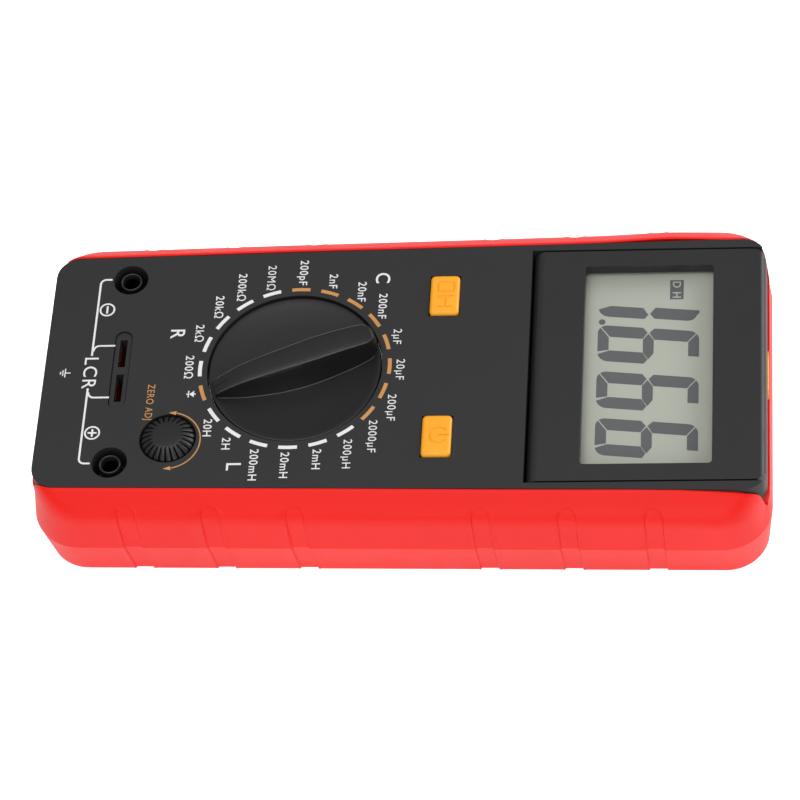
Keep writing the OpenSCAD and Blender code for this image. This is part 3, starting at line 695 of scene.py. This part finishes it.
HOLD_SYMBOL = [
    ("line", -3.9, -1.9, -3.9, 2.3), ("line", -3.9, -1.9, -1.9, -1.9), ("line", -3.9, 2.3, -1.9, 2.3),
    ("arc", -1.9, -0.9, 1.0, 270, 360), ("arc", -1.9, 1.3, 1.0, 0, 90), ("line", -0.9, -0.9, -0.9, 1.3),
    ("line", 0.6, -1.8, 0.6, 2.1), ("line", 3.8, -1.8, 3.8, 2.1), ("line", 0.6, 0.15, 3.8, 0.15),
]
POWER_SYMBOL = [("arc", 0, 0.45, 2.3, 132, 408), ("line", 0, 0.6, 0, 3.0)]

# ---------- printed marks ----------


class Print:
    """Collects thin closed prints of one colour on a flat surface."""

    def __init__(self, z):
        self.z = z
        self.points = []
        self.faces = []

    def slab(self, outline, thick=INK):
        """Closed plate from an outline."""
        first, n = len(self.points), len(outline)
        self.points += [(x, y, self.z) for x, y in outline]
        self.points += [(x, y, self.z + thick) for x, y in outline]
        self.faces.append(tuple(first + k for k in reversed(range(n))))
        self.faces.append(tuple(first + n + k for k in range(n)))
        for k in range(n):
            m = (k + 1) % n
            self.faces.append((first + k, first + m, first + n + m, first + n + k))

    def band(self, path, width, closed=False, lift=0.0):
        """Closed ribbon of constant width along a path; lift keeps it clear of one it crosses."""
        n = len(path)
        left, right = [], []
        for i, (x, y) in enumerate(path):
            a = path[i - 1] if i or closed else path[i]
            b = path[(i + 1) % n] if i < n - 1 or closed else path[i]
            dx, dy = b[0] - a[0], b[1] - a[1]
            size = math.hypot(dx, dy)
            ox, oy = -dy / size * width / 2, dx / size * width / 2
            left.append((x + ox, y + oy))
            right.append((x - ox, y - oy))
        first = len(self.points)
        for side in (left, right):
            self.points += [(x, y, self.z + lift) for x, y in side]
            self.points += [(x, y, self.z + INK + lift) for x, y in side]
        ll, lt, rl, rt = first, first + n, first + 2 * n, first + 3 * n
        for i in range(n if closed else n - 1):
            j = (i + 1) % n
            self.faces += [(lt + i, lt + j, rt + j, rt + i), (ll + i, rl + i, rl + j, ll + j),
                           (ll + i, ll + j, lt + j, lt + i), (rl + i, rt + i, rt + j, rl + j)]
        if not closed:
            self.faces.append((ll, lt, rt, rl))
            e = n - 1
            self.faces.append((ll + e, rl + e, rt + e, lt + e))

    def build(self, name, material, body, slot):
        return new_piece(name, self.points, self.faces, material, body, sharp=30)


def arc_path(cx, cy, r, a0, a1, steps):
    """Path on a circle; angles clockwise from +y."""
    return [(cx + r * math.sin(math.radians(a)), cy + r * math.cos(math.radians(a)))
            for a in spans(a0, a1, steps)]


FONT_CAPITAL = 0.69  # capital height of the built-in font at size 1
LETTER_SPACING = 1.12
NOT_GROWN = {"µ", "M"}  # making these letters bolder folds their outlines over themselves


def lettering(name, text, x, y, height, material, z=PANEL_Z, squeeze=0.96, bold=0.01):
    """Text that reads along +x with its top towards +y, as a thin closed solid centred on x, y."""
    curve = bpy.data.curves.new(name, "FONT")
    curve.body = text
    curve.size = height / FONT_CAPITAL
    curve.align_x = "CENTER"
    curve.extrude = INK / 2
    curve.offset = 0.0 if NOT_GROWN & set(text) else bold * height
    curve.resolution_u = 4
    curve.space_character = LETTER_SPACING
    holder = bpy.data.objects.new(name + "_curve", curve)
    bpy.context.scene.collection.objects.link(holder)
    bpy.context.view_layer.update()
    mesh = bpy.data.meshes.new_from_object(holder.evaluated_get(bpy.context.evaluated_depsgraph_get()))
    bpy.data.objects.remove(holder)
    base = z + INK / 2 + 0.005
    move = Matrix.Translation((x, y - height / 2, base)) @ Matrix.Diagonal((squeeze, 1, 1, 1))
    mesh.transform(Matrix.Scale(MM, 4) @ move)
    work = bmesh.new()
    work.from_mesh(mesh)
    bmesh.ops.remove_doubles(work, verts=work.verts, dist=2e-6)
    bmesh.ops.recalc_face_normals(work, faces=work.faces)
    work.to_mesh(mesh)
    work.free()
    mesh.materials.clear()
    mesh.materials.append(material)
    obj = bpy.data.objects.new(name, mesh)
    bpy.context.scene.collection.objects.link(obj)
    return obj


def join_prints(name, objects, body):
    """One piece from many letterings."""
    bpy.ops.object.select_all(action="DESELECT")
    for o in objects:
        o.select_set(True)
    bpy.context.view_layer.objects.active = objects[0]
    bpy.ops.object.join()
    objects[0].name = name
    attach(objects[0], body)


RANGES = [
    ("20MΩ", -28.5, -35.1), ("200kΩ", -25.6, -42.7), ("20kΩ", -19.4, -48.2),
    ("2kΩ", -11.1, -52.7), ("200Ω", -0.5, -54.5), ("20H", 18.4, -48.1), ("2H", 23.3, -42.9),
    ("200mH", 29.8, -35.4), ("20mH", 30.0, -27.5), ("2mH", 28.3, -19.4), ("200µH", 26.8, -11.7),
    ("2000µF", 21.5, -5.6), ("200µF", 12.8, -1.2), ("20µF", 1.1, 0.4),
    ("2µF", -9.2, -0.9), ("200nF", -18.9, -5.3), ("20nF", -23.6, -11.0), ("2nF", -27.1, -18.7),
    ("200pF", -30.0, -26.7),
]
GROUPS = [("C", -27.9, -5.7), ("R", -11.2, -58.4), ("L", 30.1, -40.4)]


MARK_STEP = 18  # degrees between two positions of the dial
MARK_RADIUS = 24.6
MARK_LENGTH = 4.8
MARK_WIDTH = 1.0
JUNCTION_MARK = 162


def dial_marks():
    """Twenty short bars round the dial; the capacitance ranges and the junction test are orange."""
    light, warm = Print(PANEL_Z + 0.005), Print(PANEL_Z + 0.005)
    half = math.degrees(MARK_LENGTH / 2 / MARK_RADIUS)
    for a in [*range(0, 181, MARK_STEP), *range(MARK_STEP - 180, 0, MARK_STEP)]:
        ink = warm if -90 <= a <= 36 or a == JUNCTION_MARK else light
        ink.band(arc_path(DIAL.x, DIAL.y, MARK_RADIUS, a - half, a + half, 6), MARK_WIDTH)
    return light, warm


def panel_symbols(light, warm):
    """Brackets between the jacks and the slots, polarity signs, ground sign, junction sign, arc."""
    for side, slot_x, gap_x in ((-1, -7.6, -4.5), (1, 8.6, 5.7)):
        corner = arc_path(side * 27.4, -79.04, 1.4, 90 * side, 180 * side, 6)
        light.band([(side * 28.8, -77.5)] + corner + [(gap_x, -80.44)], 0.52)
        inner = slot_x - side * 1.7
        turn = [(inner + side * 1.7 * math.sin(math.radians(a)),
                 -80.2 + 1.5 * (1 - math.cos(math.radians(a)))) for a in spans(0, 90, 6)]
        light.band(turn + [(slot_x, -74.6)], 0.5, lift=0.01)
    for x, plus in ((-19.1, False), (19.5, True)):
        light.band(arc_path(x, -77.85, 1.85, 0, 352.8, 49), 0.45, closed=True)
        light.band([(x - 1.15, -77.85), (x + 1.15, -77.85)], 0.5)
        if plus:
            light.band([(x, -76.7), (x, -77.6)], 0.5)
            light.band([(x, -78.1), (x, -79.0)], 0.5)
    light.band([(0.8, -85.5), (0.8, -86.75)], 0.3)
    for k, half in enumerate((1.35, 0.9, 0.42)):
        light.band([(0.8 - half, -86.9 - 0.62 * k), (0.8 + half, -86.9 - 0.62 * k)], 0.28)
    light.slab([(7.9, -53.7), (8.9, -52.5), (6.9, -52.5)])
    light.band([(6.9, -53.92), (8.9, -53.92)], 0.32)
    light.band([(7.9, -52.05), (7.9, -52.47)], 0.3)
    light.band([(7.9, -54.12), (7.9, -54.5)], 0.3)
    centre_x, centre_y, r = ZERO.x + 0.7, ZERO.y - 0.1, 8.55
    warm.band(arc_path(centre_x, centre_y, r, -78, 78, 40), 0.32)
    for a, turn in ((-92, 1), (92, -1)):
        tip = arc_path(centre_x, centre_y, r, a, a + 1, 1)[0]
        back = [arc_path(centre_x, centre_y, rr, a + 13 * turn, a, 1)[0] for rr in (r - 0.62, r + 0.62)]
        warm.slab([tip, back[0], back[1]] if turn < 0 else [tip, back[1], back[0]])


def build_prints(white, orange):
    light, warm = dial_marks()
    panel_symbols(light, warm)
    light.build("panel_marks_white", white, "case", "case_plastic")
    warm.build("panel_marks_orange", orange, "case", "case_plastic")
    words = [lettering("range_%d" % i, t, x, y, 2.15, white) for i, (t, x, y) in enumerate(RANGES)]
    words += [lettering("group_" + t, t, x, y, 3.7, white) for t, x, y in GROUPS]
    words.append(lettering("socket_caption", "LCR", 0.75, -80.3, 3.6, white, squeeze=1.0, bold=0.002))
    join_prints("panel_legend_white", words, "case")
    zero = lettering("zero_caption", "ZERO ADJ", 10.3, -63.75, 1.9, orange, squeeze=0.82, bold=0.0)
    join_prints("panel_legend_orange", [zero], "case")


# ---------- display ----------

SEGMENTS = {"1": "bc", "6": "acdefg"}
DIGIT_H = 26.0
DIGIT_SLANT = 0.098
DIGIT_BASE = 50.35
DIGIT_LEFTS = (("1", -28.9), ("6", -14.9), ("6", -0.5), ("6", 13.85))


def curve_points(cx, cy, r, a0, a1, steps=6):
    """Points on an arc; angles anticlockwise from +x."""
    return [(cx + r * math.cos(math.radians(a)), cy + r * math.sin(math.radians(a)))
            for a in spans(a0, a1, steps)]


def segment_shape(key):
    """Outline of one segment of an upright digit 11.2 mm wide and 26 mm high."""
    r, right, top = 2.6, 11.2, DIGIT_H
    shapes = {
        "a": [(7.9, top)] + curve_points(r, top - r, r, 90, 132) + [(3.65, top - 2.8), (7.9, top - 2.8)],
        "b": [(7.4, 14.7), (7.4, top), (8.2, top)] + curve_points(right - r - 0.3, top - r - 0.6, r, 75, 0)
             + [(10.9, 14.4), (9.45, 13.3)],
        "c": [(7.75, 3.15), (7.75, 11.55), (9.8, 12.85), (right, 11.9)]
             + curve_points(right - r, r, r, 0, -78),
        "d": [(8.3, 0)] + curve_points(r, r, r, 270, 228) + [(3.75, 2.85), (7.6, 2.85)],
        "e": [(3.5, 3.1)] + curve_points(r, r, r, 222, 180) + [(0, 11.6), (1.45, 12.8), (3.5, 11.5)],
        "f": [(3.5, 14.5), (1.45, 13.25), (0, 14.5)] + curve_points(r, top - r, r, 180, 138)
             + [(3.5, top - 3.0)],
        "g": [(1.75, 13.02), (3.65, 14.4), (7.75, 14.4), (9.75, 13.05), (7.75, 11.65), (3.65, 11.6)],
    }
    return shapes[key]


def segment_plates(ink, x, lit):
    for key in lit:
        outline = [(x + px + DIGIT_SLANT * py, DIGIT_BASE + py) for px, py in segment_shape(key)]
        ink.slab(outline, 0.02)


def build_display(dark, pale):
    """Reading of the photographed kind: four digits, the first one narrow, and a hold sign."""
    ink = Print(LCD_Z + 0.004)
    for digit, left in DIGIT_LEFTS:
        segment_plates(ink, left, SEGMENTS[digit])
    ink.slab(curve_points(-15.77, 51.35, 0.87, 0, 342, 19), 0.02)
    ink.slab([(-28.7, 68.7), (-22.6, 68.7), (-22.6, 72.2), (-28.7, 72.2)], 0.02)
    ink.build("display_digits", dark, "head", "display_face")
    sign = lettering("hold_sign", "D H", -25.65, 70.45, 2.1, pale, z=LCD_Z + 0.02, bold=0.02)
    join_prints("display_hold_sign", [sign], "head")


# ---------- flat cable ----------


def build_ribbon(material):
    """One flat cable with ribbed wires in place of the CAD's two straight pieces."""
    board_low, board_high = box_mm("board_cable")
    head_low, head_high = box_mm("head_cable")
    half = (board_high.x - board_low.x) / 2 - 0.1
    z0 = (board_low.z + board_high.z) / 2
    z1 = (head_low.z + head_high.z) / 2
    wires = 16
    rings = []
    for y in spans(board_low.y + 0.1, head_high.y - 0.1, 48):
        t = smooth(HINGE.y - 4, HINGE.y + 4, y)
        z = z0 + (z1 - z0) * t
        top, bottom = [], []
        for k in range(wires * 4 + 1):
            x = -half + 2 * half * k / (wires * 4)
            rib = 0.09 * abs(math.sin(math.pi * k / 4)) + 0.02
            top.append((x, y, z + rib))
            bottom.append((x, y, z - rib))
        rings.append(top + bottom[::-1])
    points = [p for ring in rings for p in ring]
    piece = new_piece("display_ribbon", points, loft_faces(len(rings), len(rings[0])), material, "case")
    # new_piece lets it ride the case; it is taken off every body instead
    piece.parent = None
    del piece["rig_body"]
    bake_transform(piece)
    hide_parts("board_cable", "head_cable")


# ---------- CAD nodes that stay ----------

EDGE_ANGLE = math.radians(38)  # edges sharper than this are rounded over and shaded sharp
WELD = 2e-6  # in m


def dress(node, material, bevel):
    """Rounded edges and a material on a CAD node, without changing its mesh."""
    obj = frame["nodes"][node]
    weld = obj.modifiers.new("weld", "WELD")
    weld.merge_threshold = WELD
    if bevel:
        flat = obj.modifiers.new("flat", "DECIMATE")
        flat.decimate_type = "DISSOLVE"
        flat.angle_limit = math.radians(1.0)
        round_over = obj.modifiers.new("edge", "BEVEL")
        round_over.width = bevel * MM
        round_over.segments = 2
        round_over.limit_method = "ANGLE"
        round_over.angle_limit = EDGE_ANGLE
        round_over.use_clamp_overlap = True
        round_over.harden_normals = False
    obj.data.shade_smooth()
    obj.data.set_sharp_from_angle(angle=EDGE_ANGLE)
    normals = obj.modifiers.new("normals", "WEIGHTED_NORMAL")
    normals.keep_sharp = True
    obj.data.materials.clear()
    obj.data.materials.append(material)


def dress_all():
    black = panel_material()
    head = moulded("head_black", srgb(36, 36, 37), rough=0.42, grain=0.28, depth=0.008, patch=40, vary=0.03,
                   specular=0.4).material
    steel = brushed_material("steel_drawn", srgb(190, 192, 195), 0.3)
    # brass darkened to near black for the jack sockets: painted shade of their deep recesses
    brass = brushed_material("brass_painted_shade", srgb(34, 31, 26), 0.55)
    copper = brushed_material("contact_copper", srgb(170, 96, 52), 0.4)
    sleeve = moulded("sleeve_black", srgb(36, 36, 38), rough=0.4, depth=0.01).material
    parts = moulded("component_black", srgb(44, 44, 46), rough=0.45, depth=0.02, patch=4,
                    vary=0.15).material
    nylon = moulded("nylon_white", srgb(222, 220, 208), rough=0.4, depth=0.01).material
    battery = moulded("battery_wrap", srgb(52, 66, 92), rough=0.3, grain=2, depth=0.01, patch=9).material
    wire = moulded("wire_red", srgb(150, 38, 34), rough=0.4, depth=0.01, patch=3).material
    stripes = moulded("zebra_elastomer", srgb(58, 58, 60), rough=0.6, grain=0.5, depth=0.03,
                      patch=1).material
    amber = moulded("latch_amber", srgb(255, 176, 40), rough=0.35, grain=0.3, depth=0.006, patch=6,
                    vary=0.03).material
    board = laminate_material()
    looks = {
        "front_case": (black, 0.28), "rear_case": (black, 0.5), "slot_insert": (black, 0.2),
        "battery_cover": (black, 0.4), "tilt_stand": (black, 0.5), "jack_sleeves": (sleeve, 0.2),
        "jack_sockets": (brass, 0.1), "slot_contacts": (copper, 0), "case_screws": (steel, 0.1),
        "board_screws": (steel, 0.1), "cover_screw": (steel, 0.1), "head_screws": (steel, 0.1),
        "hinge_pins": (steel, 0.1), "push_switches": (parts, 0.1), "pot_body": (parts, 0.15),
        "pot_shaft": (nylon, 0.1), "main_board": (board, 0), "lcd_board": (board, 0),
        "board_parts": (parts, 0.1), "battery": (battery, 0.6), "battery_snap": (parts, 0.3),
        "battery_leads": (wire, 0), "contact_rotor": (nylon, 0.15), "contact_wipers": (copper, 0),
        "detent_balls": (steel, 0), "detent_springs": (steel, 0), "latch_spring": (steel, 0),
        "rotor_clip": (steel, 0), "hold_plunger": (nylon, 0.1), "power_plunger": (nylon, 0.1),
        "head_shell": (head, 0.4), "head_back": (head, 0.35), "window_lens": (glass_material(), 0),
        "lcd_glass": (display_material(), 0), "zebra_strips": (stripes, 0), "latch_button": (amber, 0.45),
    }
    for node, (material, bevel) in looks.items():
        dress(node, material, bevel)


# ---------- stage ----------

WORLD_LIGHT = 0.4
FLOOR_GLOW = 0.25
FLOOR_DROP = 0.0004  # keeps the floor clear of the boot's underside
# name, place and size in m, power in W; each lamp faces the origin
LAMPS = [
    ("overhead", (0.12, -0.1, 1.0), 0.8, 4.6),
    ("near", (0.9, 0.1, 0.5), 0.7, 2.6),
    ("rim", (-0.5, 0.78, 0.4), 0.5, 5.0),
]


def build_stage():
    """Pale floor, soft lamps and an even pale surround."""
    mesh = bpy.data.meshes.new("floor")
    work = bmesh.new()
    bmesh.ops.create_grid(work, x_segments=1, y_segments=1, size=4)
    work.to_mesh(mesh)
    work.free()
    floor = bpy.data.objects.new("floor", mesh)
    floor.location.z = -FLOOR_DROP
    bpy.context.scene.collection.objects.link(floor)
    table = moulded("floor_pale", srgb(250, 250, 250), rough=0.7, grain=1, depth=0.0, patch=300, vary=0.004,
                    specular=0.2)
    table.bsdf.inputs["Emission Color"].default_value = (1, 1, 1, 1)
    # seen directly the floor is plain white; towards the object it only glows softly
    sight = table.add("ShaderNodeLightPath")
    glow = table.add("ShaderNodeMapRange", **{"To Min": FLOOR_GLOW, "To Max": 1.0})
    table.link(sight, "Is Camera Ray", glow, "Value")
    table.link(glow, "Result", table.bsdf, "Emission Strength")
    mesh.materials.append(table.material)
    world = bpy.data.worlds.new("surround")
    world.use_nodes = True
    world.node_tree.nodes["Background"].inputs["Color"].default_value = (1, 1, 1, 1)
    world.node_tree.nodes["Background"].inputs["Strength"].default_value = WORLD_LIGHT
    bpy.context.scene.world = world
    for name, place, size, power in LAMPS:
        lamp = bpy.data.lights.new(name, "AREA")
        lamp.size = size
        lamp.energy = power
        obj = bpy.data.objects.new(name, lamp)
        obj.location = place
        obj.rotation_euler = Vector(place).to_track_quat("Z", "Y").to_euler()
        bpy.context.scene.collection.objects.link(obj)


# fitted to the photo's view: place in m, looking direction, direction of the picture's right, lens
CAMERA_PLACE = (0.51552, 0.10812, 0.77901)
CAMERA_LOOK = Vector((-0.55764, -0.11846, -0.82159)).normalized()
CAMERA_RIGHT = Vector((-0.05598, 0.99288, -0.10516))
CAMERA_LENS = 160.33
SENSOR_WIDTH = 36


def build_camera():
    camera = bpy.data.cameras.new("camera")
    camera.lens = CAMERA_LENS
    camera.sensor_width = SENSOR_WIDTH
    camera.clip_start = 0.01
    obj = bpy.data.objects.new("camera", camera)
    right = (CAMERA_RIGHT - CAMERA_LOOK * CAMERA_RIGHT.dot(CAMERA_LOOK)).normalized()
    up = right.cross(CAMERA_LOOK)
    turn = Matrix((right, up, -CAMERA_LOOK)).transposed().to_4x4()
    obj.matrix_world = Matrix.Translation(CAMERA_PLACE) @ turn
    bpy.context.scene.collection.objects.link(obj)
    bpy.context.scene.camera = obj
    bpy.context.scene.view_settings.view_transform = "Standard"


def main():
    dress_all()
    build_boot(rubber_material())
    knob = moulded("knob_charcoal", srgb(20, 20, 21), rough=0.42, grain=0.25, depth=0.006, patch=40,
                   vary=0.03, specular=0.45).material
    gap = moulded("line_black", srgb(3, 3, 3), rough=0.8, depth=0.004).material
    # light grey beads on the knob's handle: painted highlights on its edges
    edge = moulded("knob_edge_highlight", srgb(84, 84, 86), rough=0.35, grain=0.3, depth=0.004, patch=5,
                   vary=0.25).material
    build_knob(knob, gap, edge)
    build_zero_knob(knob)
    amber = moulded("button_amber", srgb(254, 170, 34), rough=0.42, grain=0.3, depth=0.006, patch=8,
                    vary=0.03, specular=0.4).material
    build_button("hold_cap", "hold_button", "hold", HOLD_SYMBOL, amber)
    build_button("power_cap", "power_button", "power", POWER_SYMBOL, amber)
    white = moulded("ink_white", srgb(230, 230, 231), rough=0.5, grain=0.2, depth=0.004, patch=3,
                    vary=0.03).material
    orange = moulded("ink_orange", srgb(200, 142, 78), rough=0.5, grain=0.2, depth=0.004, patch=3,
                     vary=0.05).material
    build_prints(white, orange)
    dark = moulded("display_segment", srgb(82, 82, 86), rough=0.35, grain=0.2, depth=0.002, patch=12,
                   vary=0.04).material
    build_display(dark, frame["nodes"]["lcd_glass"].data.materials[0])
    build_ribbon(moulded("ribbon_grey", srgb(170, 172, 176), rough=0.4, depth=0.01, patch=6).material)
    build_stage()
    build_camera()


main()
bpy.context.view_layer.update()
